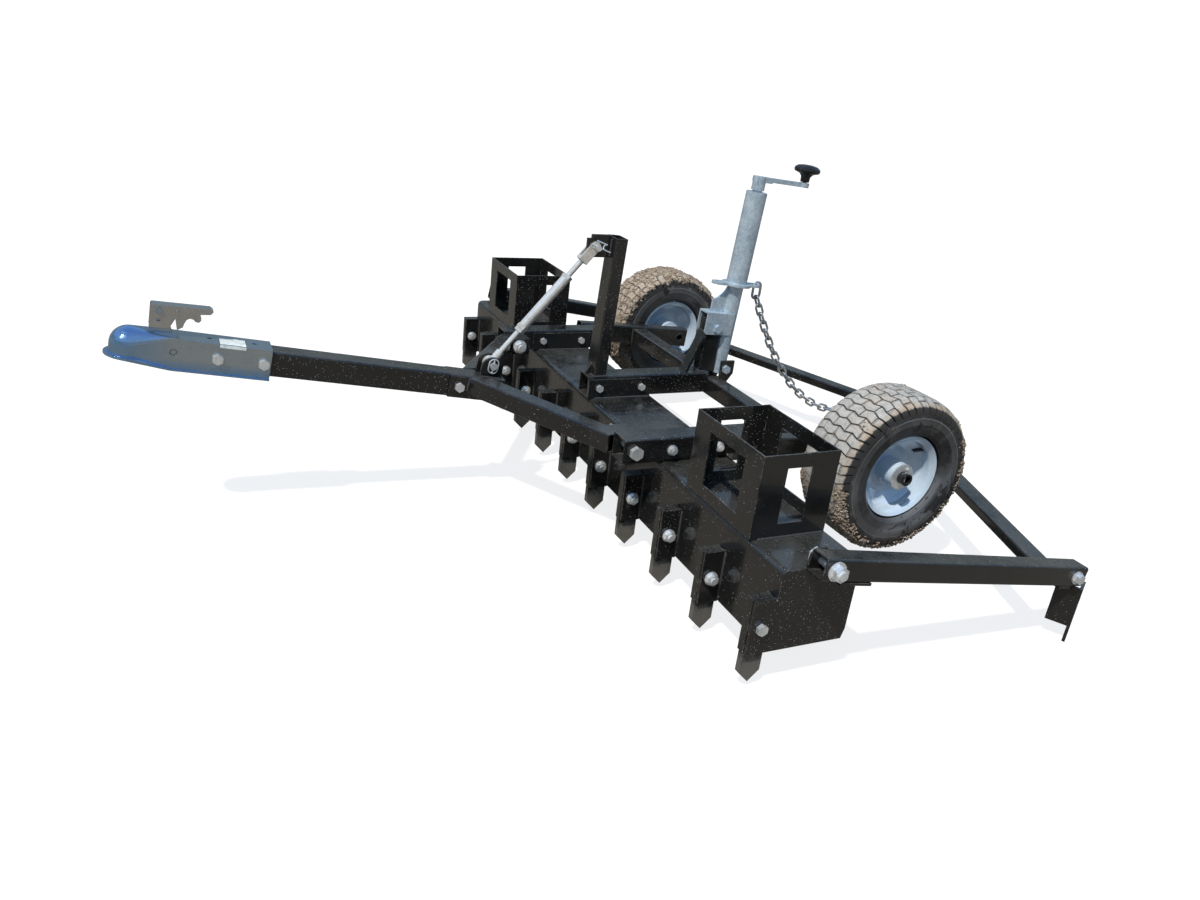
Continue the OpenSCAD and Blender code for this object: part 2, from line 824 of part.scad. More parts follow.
// The fixed leg with its clamp bracket; the bolts hold it to the stand.
module jack_leg() {
    color(galvanised) at_box() {
        difference() {
            union() {
                along_jack() {
                    difference() {
                        translate([0, 0, -6]) cylinder(h = leg_top + 6, d = leg_d);
                        translate([0, 0, -7]) cylinder(h = leg_top - 13, d = leg_d - 6);
                        cylinder(h = leg_top + 1, d = screw_d + 1);
                    }
                }
                along_jack() for (side = [-1, 1]) on_side(side)
                    slab(16, 20) polygon([[-70, 92], [-66, 88], [4, 88], [4, 140], [-70, 140]]);
                along_jack() translate([-20, -70, 136]) cube([40, 54, 4]);
                along_jack() slab(-3, 3) difference() {
                    translate([-54, 140]) square([36, 62]);
                    translate([-66, 214]) circle(47);
                }
            }
            bar_x(foot_bolt, 12 + 2 * bolt_gap, -60, 60);
            bar_x(bracket_bolt, 12 + 2 * bolt_gap, -60, 60);
        }
    }
    color(zinc) at_box() {
        translate([26, foot_bolt[0], foot_bolt[1]]) rotate([0, 0, 180]) cross_bolt(12, 52);
        translate([20, bracket_bolt[0], bracket_bolt[1]]) rotate([0, 0, 180]) cross_bolt(12, 40);
    }
}

// The outer tube lifts on the leg and carries the chain's flange.
module jack_tube() {
    color(galvanised) at_box() along_jack() {
        difference() {
            translate([0, 0, flange_at - 4]) cylinder(h = tube_top - flange_at + 4, d = jack_d);
            translate([0, 0, flange_at - 5]) cylinder(h = tube_top - flange_at - 3, d = leg_d + 0.8);
            translate([0, 0, tube_top - 20]) cylinder(h = 40, d = 22 + 2 * run_gap);
        }
        difference() {
            translate([0, 0, flange_at - 3]) linear_extrude(6) {
                circle(34);
                square([30, 2 * ear_at], center = true);
                for (s = [-1, 1]) translate([0, s * ear_at]) circle(15);
            }
            translate([0, 0, flange_at - 5]) cylinder(h = 10, d = leg_d + 0.8);
            for (s = [-1, 1]) translate([0, s * ear_at, flange_at - 5]) cylinder(h = 10, d = 13);
        }
    }
}

// The crank turns the screw inside the leg.
module jack_crank() {
    color(galvanised) at_box() along_jack() {
        translate([0, 0, 150]) cylinder(h = tube_top - 150, d = screw_d);
        translate([0, 0, tube_top - 25]) cylinder(h = 35, d = 22);
        translate([0, 0, tube_top + 4]) cylinder(h = 30, d = 30);
        translate([-6, 0, tube_top + 24]) cube([12, crank_reach, 10]);
        translate([-12, -12, tube_top + 22]) cube([24, 40, 12]);
        translate([0, crank_reach, tube_top + 24]) cylinder(h = 10, d = 24);
        translate([0, crank_reach, tube_top + 24]) cylinder(h = 40, d = 10);
    }
}

module crank_knob() {
    color(knob_black) at_box() along_jack() translate([0, crank_reach, tube_top + 36]) difference() {
        rotate_extrude() polygon([
            [0, 0], [10, 0], [11, 12], [16, 18], [28, 22], [30, 26], [29, 31], [22, 36], [10, 38], [0, 38.5]
        ]);
        translate([0, 0, -1]) cylinder(h = 30, d = 10 + 2 * run_gap);
    }
}

// Drag frame

module drag_arm_tube(side) {
    color(black) at_box() on_side(side) difference() {
        along_drag_arm() translate([drag_x, -24, 0]) tube_y(small_tube, small_tube, drag_arm + 24);
        bar_x(drag_pivot, pivot_d + 2 * run_gap, drag_x - 30, drag_x + 30);
    }
}

// Places a shape that runs along +Y on a swept bar's line, from behind the middle outward.
module along_vee_bar() {
    translate([0, vee_apex, vee_z]) rotate([0, 0, -90 - vee_sweep]) translate([0, -60, 0]) children();
}

// A swept bar from an arm to the middle, cut square on the centre line.
module vee_bar(side) {
    span = drag_x - small_tube / 2;
    color(black) at_box() on_side(side) intersection() {
        along_vee_bar() tube_y(vee_w, vee_h, 1000);
        translate([0, 0, -400]) cube([span, 2000, 800]);
    }
}

// Angle hangers under the arms' ends, and the chain's lug at the bars' meeting point.
module drag_hangers() {
    color(black) at_box() {
        for (side = [-1, 1]) on_side(side) {
            along_drag_arm() translate([drag_x - 14, drag_arm - 50, -small_tube / 2 - 8]) cube([28, 40, 8]);
            translate([drag_x + 6, 660, 0]) rotate([0, 0, 32]) {
                translate([-23, -3, -188]) cube([46, plate, 82]);
                translate([17, -3, -222]) cube([plate, 40, 116]);
            }
        }
        difference() {
            slab(-3, 3) {
                translate(hook_at) circle(12);
                translate([hook_at[0], hook_at[1] - 12]) square([vee_apex - 20 - hook_at[0], 24]);
            }
            bar_x(hook_at, hook_hole, -10, 10);
            for (side = [-1, 1]) on_side(side) along_vee_bar()
                translate([-vee_w / 2, 0, -vee_h / 2]) cube([vee_w, 1000, vee_h]);
        }
    }
}

module drag_bolts() {
    color(zinc) at_box() for (side = [-1, 1]) on_side(side) along_drag_arm()
        translate([drag_x + small_tube / 2, drag_arm - 24, 0]) rotate([0, 90, 0]) {
            cylinder(h = 3, d = 26);
            translate([0, 0, 3]) cylinder(h = 8, d = 21, $fn = 6);
        }
}

// Chain

function sinh(x) = (exp(x) - exp(-x)) / 2;
function cosh(x) = (exp(x) + exp(-x)) / 2;
function asinh(x) = ln(x + sqrt(x * x + 1));

link_step = link_len - 0.6;
chain_len = link_count * link_step;

// The chain's ends: under the jack's flange and at the drag frame's lug
shackle_top = 7.5;
shackle_len = 39;
shackle_wire = 6;
ear_y = jack_foot[0] + ear_at * cos(jack_lean) + flange_at * sin(jack_lean);
ear_z = jack_foot[1] - ear_at * sin(jack_lean) + flange_at * cos(jack_lean);
shackle_r = 10;
first_link_reach = 6.7;
first_link_dir = [0.44, -0.9];
chain_from = [ear_y + shackle_r, ear_z + shackle_top - shackle_len + shackle_r]
    + first_link_reach * first_link_dir;
chain_to = hook_at - [3, -0.5];

// Catenary through both ends: its scale comes from the chain's length by bisection
chain_h = chain_to[0] - chain_from[0];
chain_v = chain_from[1] - chain_to[1];
chain_ratio = sqrt(chain_len * chain_len - chain_v * chain_v) / chain_h;
function sag_root(lo, hi, n) =
    n == 0 ? (lo + hi) / 2
    : let (mid = (lo + hi) / 2)
        sinh(mid) / mid < chain_ratio ? sag_root(mid, hi, n - 1) : sag_root(lo, mid, n - 1);
sag_scale = chain_h / 2 / sag_root(0.01, 4, 40);
sag_slant = asinh(chain_v / (2 * sag_scale * sinh(chain_h / 2 / sag_scale)));
sag_low = (chain_from[0] + chain_to[0]) / 2 + sag_scale * sag_slant;
sag_start = sinh((chain_from[0] - sag_low) / sag_scale);
function chain_y(s) = sag_low + sag_scale * asinh(s / sag_scale + sag_start);
function chain_z(s) = chain_from[1] + sag_scale
    * (cosh((chain_y(s) - sag_low) / sag_scale) - cosh((chain_from[0] - sag_low) / sag_scale));
function chain_slope(s) = atan(s / sag_scale + sag_start);

// Links turned a quarter against each other along the hanging curve.
module chain() {
    color(zinc) at_box() {
        translate([0, ear_y + shackle_r, ear_z + shackle_top - shackle_len / 2]) rotate([0, 0, 90])
            wire_link(shackle_len - shackle_wire, 2 * shackle_r - shackle_wire, shackle_wire);
        for (i = [0 : link_count - 1]) {
            s = (i + 0.5) * link_step;
            translate([0, chain_y(s), chain_z(s)]) rotate([chain_slope(s) - 90, 0, 0])
                rotate([0, 0, i % 2 == 0 ? 0 : 90]) wire_link(link_len, link_gap, chain_wire);
        }
    }
}
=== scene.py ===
"""Dresses the packed soil pulverizer: camera, light, materials, tyre tread and small details."""
import json
import math
import random

import bmesh
import bpy
from mathutils import Matrix, Vector


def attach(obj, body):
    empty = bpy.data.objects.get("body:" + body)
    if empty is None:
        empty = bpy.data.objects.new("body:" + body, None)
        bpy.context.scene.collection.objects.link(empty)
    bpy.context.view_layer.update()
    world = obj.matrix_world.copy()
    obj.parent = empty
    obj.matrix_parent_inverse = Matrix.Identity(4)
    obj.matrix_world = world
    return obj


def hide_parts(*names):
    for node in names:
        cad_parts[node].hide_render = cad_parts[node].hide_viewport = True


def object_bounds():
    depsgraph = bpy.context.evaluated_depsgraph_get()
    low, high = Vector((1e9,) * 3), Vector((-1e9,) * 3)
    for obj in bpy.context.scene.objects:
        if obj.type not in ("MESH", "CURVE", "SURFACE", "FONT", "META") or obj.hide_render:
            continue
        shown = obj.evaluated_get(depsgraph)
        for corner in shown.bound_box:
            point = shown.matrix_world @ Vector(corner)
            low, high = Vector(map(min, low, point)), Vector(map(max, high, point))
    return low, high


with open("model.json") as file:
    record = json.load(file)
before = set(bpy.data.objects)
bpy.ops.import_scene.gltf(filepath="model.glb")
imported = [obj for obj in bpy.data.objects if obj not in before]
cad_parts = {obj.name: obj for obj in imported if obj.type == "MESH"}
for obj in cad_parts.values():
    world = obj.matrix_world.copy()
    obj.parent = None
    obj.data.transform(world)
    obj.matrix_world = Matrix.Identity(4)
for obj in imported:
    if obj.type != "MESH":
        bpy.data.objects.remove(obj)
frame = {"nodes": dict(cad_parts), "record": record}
cad_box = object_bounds()
scene = bpy.context.scene
nodes = frame["nodes"]

MM = 0.001
SIDE_WORD = {1: "left", -1: "right"}
# The left wheel's middle, in metres
WHEEL_X, WHEEL_Y, WHEEL_Z = 0.494, 1.374, -0.133
TONGUE_PITCH = math.radians(9)


# Camera

SENSOR_MM = 36.0
FOCAL_PX = 932.854
PHOTO_WIDTH_PX = 1200.0
CAMERA_PLACE = (1.81512, 0.06002, 0.57295)
CAMERA_RIGHT = Vector((0.4060919, 0.9072695, 0.1093228))
CAMERA_DOWN = Vector((0.3976811, -0.0677446, -0.9150194))
CAMERA_AHEAD = Vector((-0.8227631, 0.4150576, -0.3883144))


def make_camera():
    """The camera that was solved from the box's edges."""
    cam = bpy.data.cameras.new("photo_camera")
    cam.sensor_fit = "HORIZONTAL"
    cam.sensor_width = SENSOR_MM
    cam.lens = SENSOR_MM * FOCAL_PX / PHOTO_WIDTH_PX
    cam.clip_start = 0.05
    cam.clip_end = 60.0
    obj = bpy.data.objects.new("photo_camera", cam)
    scene.collection.objects.link(obj)
    turn = Matrix((CAMERA_RIGHT, -CAMERA_DOWN, -CAMERA_AHEAD)).transposed().to_4x4()
    obj.matrix_world = Matrix.Translation(CAMERA_PLACE) @ turn
    scene.camera = obj


# Light

# What shiny surfaces reflect, by height from straight down to straight up
REFLECTED = (
    (0.0, (0.34, 0.33, 0.31)),
    (0.04, (0.52, 0.56, 0.58)),
    (0.12, (0.24, 0.29, 0.30)),
    (0.34, (0.17, 0.22, 0.24)),
    (0.46, (0.42, 0.62, 0.86)),
    (0.66, (0.24, 0.47, 0.86)),
    (1.0, (0.15, 0.30, 0.62)),
)
REFLECTED_STRENGTH = 0.85
BACKDROP_STRENGTH = 1.3
SOFT_COLOUR = (0.42, 0.67, 1.0)
SOFT_STRENGTH = 0.52

SUN_TOWARD = Vector((0.31, -0.46, 0.83))
SUN_COLOUR = (1.0, 0.95, 0.87)
# Name, strength, spread in degrees, and whether shiny surfaces show it
SUNS = (("sun", 4.9, 2.0, False), ("sun_glint", 0.55, 6.0, True))

CARD_PLACE = Vector((2.6, -1.6, 2.2))
CARD_AIM = Vector((0, 0.9, -0.1))


def make_world():
    """White for the camera, a soft blue light on everything and a banded sky in reflections."""
    world = bpy.data.worlds.new("studio")
    scene.world = world
    world.use_nodes = True
    nt = world.node_tree
    nt.nodes.clear()

    def background(colour, strength):
        node = nt.nodes.new("ShaderNodeBackground")
        node.inputs["Color"].default_value = (*colour, 1)
        node.inputs["Strength"].default_value = strength
        return node

    def choose(ray, otherwise, chosen):
        node = nt.nodes.new("ShaderNodeMixShader")
        nt.links.new(path.outputs[ray], node.inputs["Fac"])
        nt.links.new(otherwise.outputs[0], node.inputs[1])
        nt.links.new(chosen.outputs[0], node.inputs[2])
        return node

    coord = nt.nodes.new("ShaderNodeTexCoord")
    split = nt.nodes.new("ShaderNodeSeparateXYZ")
    nt.links.new(coord.outputs["Generated"], split.inputs[0])
    ramp = nt.nodes.new("ShaderNodeValToRGB")
    stops = ramp.color_ramp.elements
    for stop, (place, colour) in zip(stops, (REFLECTED[0], REFLECTED[-1])):
        stop.position = place
        stop.color = (*colour, 1)
    for place, colour in REFLECTED[1:-1]:
        stops.new(place).color = (*colour, 1)
    nt.links.new(split.outputs["Z"], ramp.inputs["Fac"])

    sky = background((1, 1, 1), REFLECTED_STRENGTH)
    nt.links.new(ramp.outputs["Color"], sky.inputs["Color"])
    white = background((1, 1, 1), BACKDROP_STRENGTH)
    soft = background(SOFT_COLOUR, SOFT_STRENGTH)
    path = nt.nodes.new("ShaderNodeLightPath")
    seen = choose("Is Camera Ray", choose("Is Glossy Ray", soft, sky), white)
    out = nt.nodes.new("ShaderNodeOutputWorld")
    nt.links.new(seen.outputs[0], out.inputs["Surface"])


def make_lights():
    """Two suns from one direction and a weak card that fills from the front."""
    for name, energy, spread, glossy in SUNS:
        sun = bpy.data.lights.new(name, "SUN")
        sun.energy = energy
        sun.angle = math.radians(spread)
        sun.color = SUN_COLOUR
        obj = bpy.data.objects.new(name, sun)
        obj.visible_glossy = glossy
        scene.collection.objects.link(obj)
        obj.rotation_euler = SUN_TOWARD.to_track_quat("Z", "Y").to_euler()
    card = bpy.data.lights.new("soft_card", "AREA")
    card.shape = "RECTANGLE"
    card.size = 2.4
    card.size_y = 1.6
    card.energy = 18
    obj = bpy.data.objects.new("soft_card", card)
    obj.visible_glossy = False
    scene.collection.objects.link(obj)
    obj.location = CARD_PLACE
    obj.rotation_euler = (CARD_PLACE - CARD_AIM).to_track_quat("Z", "Y").to_euler()


# Node helpers

class Tree:
    """A material and short ways to add nodes to it."""

    def __init__(self, name):
        self.mat = bpy.data.materials.new(name)
        self.mat.use_nodes = True
        self.nt = self.mat.node_tree
        self.bsdf = self.nt.nodes["Principled BSDF"]
        self.coord = self.add("TexCoord").outputs["Object"]

    def add(self, kind):
        return self.nt.nodes.new("ShaderNode" + kind)

    def link(self, a, b):
        self.nt.links.new(a, b)

    def put(self, socket, value):
        if isinstance(value, bpy.types.NodeSocket):
            self.link(value, socket)
        elif isinstance(value, (tuple, list)) and len(value) == 3 and socket.type == "RGBA":
            socket.default_value = (*value, 1)
        else:
            socket.default_value = value

    def set(self, **values):
        """Fills the surface's inputs; an underscore stands for a space in an input's name."""
        for key, value in values.items():
            self.put(self.bsdf.inputs[key.replace("_", " ")], value)

    def noise(self, scale, detail, rough, distortion=0.0):
        n = self.add("TexNoise")
        n.inputs["Scale"].default_value = scale
        n.inputs["Detail"].default_value = detail
        n.inputs["Roughness"].default_value = rough
        n.inputs["Distortion"].default_value = distortion
        self.link(self.coord, n.inputs["Vector"])
        return n.outputs["Fac"]

    def voronoi(self, scale):
        n = self.add("TexVoronoi")
        n.inputs["Scale"].default_value = scale
        self.link(self.coord, n.inputs["Vector"])
        return n

    def math(self, op, a, b=None, clamp=False):
        n = self.add("Math")
        n.operation = op
        n.use_clamp = clamp
        self.put(n.inputs[0], a)
        if b is not None:
            self.put(n.inputs[1], b)
        return n.outputs[0]

    def plus(self, a, b, clamp=False):
        return self.math("ADD", a, b, clamp)

    def minus(self, a, b):
        return self.math("SUBTRACT", a, b)

    def times(self, a, b):
        return self.math("MULTIPLY", a, b)

    def larger(self, a, b, clamp=False):
        return self.math("MAXIMUM", a, b, clamp)

    def below(self, a, limit):
        return self.math("LESS_THAN", a, limit)

    def above(self, a, limit):
        return self.math("GREATER_THAN", a, limit)

    def size(self, a):
        return self.math("ABSOLUTE", a)

    def length(self, a, b):
        return self.math("SQRT", self.plus(self.times(a, a), self.times(b, b)))

    def span(self, value, low, high, to_low=0.0, to_high=1.0):
        """Maps low..high to to_low..to_high and holds the ends."""
        n = self.add("MapRange")
        n.clamp = True
        settings = {"Value": value, "From Min": low, "From Max": high, "To Min": to_low, "To Max": to_high}
        for key, setting in settings.items():
            self.put(n.inputs[key], setting)
        return n.outputs["Result"]

    def mix(self, fac, a, b):
        n = self.add("Mix")
        n.data_type = "RGBA"
        self.put(n.inputs["Factor"], fac)
        self.put(n.inputs[6], a)
        self.put(n.inputs[7], b)
        return n.outputs[2]

    def split(self, vector):
        n = self.add("SeparateXYZ")
        self.link(vector, n.inputs[0])
        return n.outputs

    def normal(self):
        return self.add("NewGeometry").outputs["Normal"]

    def bump(self, height, strength, distance, normal=None):
        n = self.add("Bump")
        n.inputs["Strength"].default_value = strength
        n.inputs["Distance"].default_value = distance
        self.put(n.inputs["Height"], height)
        if normal is not None:
            self.link(normal, n.inputs["Normal"])
        return n.outputs["Normal"]

    def bevel(self, radius):
        n = self.add("Bevel")
        n.samples = 4
        n.inputs["Radius"].default_value = radius
        return n.outputs["Normal"]

    def edge(self, radius):
        """1 where a face turns into its neighbour within the radius, 0 on the flat."""
        n = self.add("VectorMath")
        n.operation = "DOT_PRODUCT"
        self.link(self.bevel(radius), n.inputs[0])
        self.link(self.normal(), n.inputs[1])
        return self.span(n.outputs["Value"], 0.995, 0.93)

    def specks(self, scale, size, share):
        """Round flecks: 1 inside a share of the cells, out to size of a cell."""
        cells = self.voronoi(scale)
        chosen = self.below(self.split(cells.outputs["Color"])["X"], share)
        near = self.span(cells.outputs["Distance"], size, size * 0.5)
        return self.times(chosen, near)


# Paint and metals

EDGE_REACH = 0.0022
# Heights in metres between which the shanks' points are worn to steel, and where scratches end
TIP_WORN = (-0.292, -0.326)
TIP_SCRATCHED = (-0.245, -0.315)


def black_paint(name, worn=False):
    """Gloss black enamel with dust that lies thicker on top; worn bares the steel low down."""
    t = Tree(name)
    cloud = t.noise(5.0, 5.0, 0.6)
    fine = t.noise(42.0, 6.0, 0.65)
    base = t.mix(t.span(cloud, 0.35, 0.7), (0.0045, 0.0047, 0.0051), (0.0085, 0.0086, 0.0088))
    facing_up = t.span(t.split(t.normal())["Z"], 0.35, 0.95)

    patchy = t.span(t.plus(cloud, t.times(fine, 0.5)), 0.55, 1.0)
    dust_film_and_painted_sky = t.times(patchy, t.span(facing_up, 0, 1, 0.022, 0.22))
    base = t.mix(dust_film_and_painted_sky, base, (0.175, 0.175, 0.160))

    dust = t.larger(t.specks(190.0, 0.16, 0.08), t.specks(360.0, 0.22, 0.08))
    smallest = t.times(t.specks(700.0, 0.26, 0.07), t.span(facing_up, 0, 1, 0.35, 0.9))
    dust = t.times(t.larger(dust, smallest), t.span(t.noise(3.0, 3.0, 0.6), 0.36, 0.60, 0.25, 1.0))
    base = t.mix(dust, base, (0.60, 0.60, 0.57))

    rub = t.times(t.edge(EDGE_REACH), t.span(t.noise(55.0, 7.0, 0.75), 0.50, 0.62))
    base = t.mix(t.times(rub, 0.55), base, (0.22, 0.225, 0.23))

    rough = t.span(fine, 0.3, 0.75, 0.10, 0.24)
    rough = t.plus(rough, t.times(dust_film_and_painted_sky, 1.2), clamp=True)
    rough = t.plus(rough, t.times(t.larger(dust, rub), 0.4), clamp=True)

    if worn:
        height = t.split(t.coord)["Z"]
        ragged = t.times(t.minus(t.noise(60.0, 6.0, 0.7), 0.5), 0.06)
        bare = t.span(t.plus(height, ragged), *TIP_WORN)
        scratch = t.span(t.noise(90.0, 8.0, 0.75, distortion=1.0), 0.62, 0.70)
        bare = t.larger(bare, t.times(scratch, t.span(height, *TIP_SCRATCHED)), clamp=True)
        base = t.mix(bare, base, t.mix(fine, (0.12, 0.118, 0.112), (0.32, 0.31, 0.29)))
        rough = t.plus(rough, t.times(bare, 0.22), clamp=True)
        t.set(Metallic=t.times(bare, 0.75))

    grain = t.plus(t.noise(330.0, 2.0, 0.5), t.times(dust, 1.5))
    normal = t.bump(grain, 0.08, 0.0003, t.bevel(0.0014))
    t.set(Base_Color=base, Roughness=rough, Normal=normal, Coat_Weight=0.35, Coat_Roughness=0.05)
    return t.mat


# The round mark pressed in the coupler's sides, drawn only as a painted shadow ring: its place along Y and Z,
# in metres
COUPLER_MARK = (0.07202, -0.00938)


def coupler_painted_sky(t, base, cloud):
    """A painted blue sky reflection, deepest at the lower edge and the dome, and a painted shadow ring round
    the mark.
    """
    y, z = (t.split(t.coord)[axis] for axis in "YZ")
    over_tongue = t.plus(t.times(z, 0.988), t.times(y, 0.156))
    # Painted reflection: blue sky light laid into the base colour along the lower edge and over the dome.
    low = t.span(over_tongue, -0.010, -0.024, 0.0, 0.75)
    dome = t.span(y, 0.075, 0.010, 0.0, 0.6)
    dust_film_and_painted_sky = t.times(t.larger(low, dome), t.span(cloud, 0.35, 0.60, 0.55, 1.0))
    base = t.mix(dust_film_and_painted_sky, base, (0.12, 0.37, 0.74))
    # Painted shadow: a dark ring stands in for the shaded rim of the pressed mark.
    away = t.length(*(t.minus(axis, place) for axis, place in zip((y, z), COUPLER_MARK)))
    ring = t.times(t.span(away, 0.0046, 0.0054), t.span(away, 0.0066, 0.0058))
    return t.mix(t.times(ring, 0.85), base, (0.06, 0.08, 0.10))


def bright_metal(name, dark, light, rough, metallic=1.0, bevel=0.0008, spangle=0.0, dirt=0.0, dust_film_and_painted_sky=None):
    """Zinc or bare steel between a dark and a light tone; rough is its lowest and highest roughness."""
    t = Tree(name)
    cloud = t.noise(24.0, 5.0, 0.6)
    fine = t.noise(160.0, 6.0, 0.7)
    tone = t.span(t.plus(t.times(cloud, 0.65), t.times(fine, 0.35)), 0.36, 0.64)
    if spangle:
        large = t.split(t.voronoi(190.0).outputs["Color"])["X"]
        small = t.split(t.voronoi(420.0).outputs["Color"])["Y"]
        cells = t.plus(t.times(large, 0.6), t.times(small, 0.4))
        tone = t.plus(t.times(tone, 1.0 - spangle), t.times(cells, spangle), clamp=True)
    base = t.mix(tone, dark, light)
    roughness = t.span(tone, 0, 1, rough[1], rough[0])
    if dirt:
        spot = t.times(t.span(t.noise(38.0, 7.0, 0.7), 0.58, 0.68), dirt)
        base = t.mix(spot, base, (0.16, 0.13, 0.10))
        roughness = t.plus(roughness, t.times(spot, 0.35), clamp=True)
    # The optional function paints light into the base colour: for the coupler, a sky reflection and a shadow
    # ring.
    if dust_film_and_painted_sky:
        base = dust_film_and_painted_sky(t, base, cloud)
    normal = t.bump(fine, 0.10, 0.0003, t.bevel(bevel))
    t.set(Base_Color=base, Roughness=roughness, Metallic=metallic, Normal=normal)
    return t.mat


# The valve stem's direction from the axle, along Y and Z
STEM_Y, STEM_Z = 0.788, 0.616


def valve_stem(t):
    """1 inside the rubber valve stem, 0 elsewhere on the rim."""
    x, y, z = (t.split(t.coord)[axis] for axis in "XYZ")
    y = t.minus(y, WHEEL_Y)
    z = t.minus(z, WHEEL_Z)
    out = t.minus(t.size(x), WHEEL_X)
    along = t.plus(t.times(y, STEM_Y), t.times(z, STEM_Z))
    across = t.minus(t.times(z, STEM_Y), t.times(y, STEM_Z))
    level = t.plus(0.020, t.times(t.minus(along, 0.062), 1.19))
    inside = t.times(t.above(along, 0.0605), t.below(along, 0.084))
    inside = t.times(inside, t.below(t.size(across), 0.0052))
    return t.times(inside, t.below(t.size(t.minus(out, level)), 0.0062))


def rim_enamel():
    """Pale blue enamel with flecks and faint stains, and the black valve stem."""
    t = Tree("rim_enamel")
    cloud = t.noise(9.0, 4.0, 0.6)
    base = t.mix(t.span(cloud, 0.35, 0.65), (0.40, 0.50, 0.60), (0.48, 0.57, 0.66))
    stain = t.times(t.span(t.noise(30.0, 7.0, 0.72, distortion=0.6), 0.62, 0.72), 0.22)
    base = t.mix(stain, base, (0.30, 0.30, 0.29))
    base = t.mix(t.times(t.specks(260.0, 0.22, 0.05), 0.85), base, (0.08, 0.075, 0.07))
    stem = valve_stem(t)
    base = t.mix(stem, base, (0.010, 0.010, 0.011))
    rough = t.plus(t.span(cloud, 0.3, 0.7, 0.16, 0.24), t.times(stain, 0.5), clamp=True)
    rough = t.plus(rough, t.times(stem, 0.25), clamp=True)
    metal = t.times(t.minus(1.0, stem), 0.22)
    normal = t.bump(t.noise(240.0, 2.0, 0.5), 0.05, 0.0003, t.bevel(0.0012))
    t.set(Base_Color=base, Roughness=rough, Metallic=metal, Coat_Weight=0.3, Coat_Roughness=0.06, Normal=normal)
    return t.mat


# Rubber and soil

class Rubber(Tree):
    """A tyre's rubber, with its noises, its soil and each point's place round the axle in metres."""

    def __init__(self, name, side):
        super().__init__(name + "_" + SIDE_WORD[side])
        x, y, z = (self.split(self.coord)[axis] for axis in "XYZ")
        self.rear = self.minus(y, WHEEL_Y)
        self.up = self.minus(z, WHEEL_Z)
        self.radius = self.length(self.rear, self.up)
        self.out = self.times(self.minus(x, side * WHEEL_X), side)
        self.fine = self.noise(140.0, 7.0, 0.7)
        self.cloud = self.noise(11.0, 6.0, 0.65)
        self.grit = self.noise(420.0, 5.0, 0.75)
        self.black = self.mix(self.fine, (0.008, 0.008, 0.0085), (0.020, 0.020, 0.021))
        self.mud = self.mix(self.grit, (0.20, 0.155, 0.115), (0.48, 0.41, 0.33))

    def between(self, low, low_end, high_end, high):
        """1 between two radii, fading to 0 outside them."""
        return self.times(self.span(self.radius, low, low_end), self.span(self.radius, high, high_end))


# The tread's share of brown soil: noise levels where it begins and where it covers all, on each side
MUDDY = {1: (0.74, 0.96), -1: (0.42, 0.66)}


def tread_rubber(side):
    """Dust and soil on the blocks' tops, with bare rubber in the grooves, and painted shade that darkens the
    blocks' edges beside the grooves.
    """
    t = Rubber("tread_rubber", side)
    grey = t.mix(t.grit, (0.23, 0.225, 0.215), (0.47, 0.465, 0.45))
    shoulder = t.span(t.size(t.out), 0.046, 0.062, 0.0, 0.24)
    amount = t.plus(t.plus(t.cloud, t.times(t.fine, 0.35)), shoulder)
    soil_tone = t.mix(t.span(amount, *MUDDY[side]), grey, t.mud)
    mottled = t.span(t.noise(75.0, 6.0, 0.7), 0.50, 0.66, 0.0, 0.5)
    soil_tone = t.mix(mottled, soil_tone, (0.16, 0.15, 0.135))
    ragged = t.plus(t.radius, t.times(t.minus(t.fine, 0.5), 0.008))
    dust_and_painted_edge_shade = t.times(t.span(ragged, 0.1508, 0.1530, 0.05, 0.96), t.span(t.fine, 0.30, 0.55, 0.62, 1.0))
    # Painted shade: the dust thins along the blocks' edges so they read dark, as the grooves' shadow would.
    dust_and_painted_edge_shade = t.times(dust_and_painted_edge_shade, t.minus(1.0, t.times(t.edge(EDGE_REACH), 0.72)))
    base = t.mix(dust_and_painted_edge_shade, t.black, soil_tone)
    height = t.plus(t.grit, t.times(t.cloud, 1.5))
    t.set(Base_Color=base, Roughness=t.span(t.fine, 0.3, 0.8, 0.55, 0.85), Normal=t.bump(height, 0.4, 0.0010))
    return t.mat


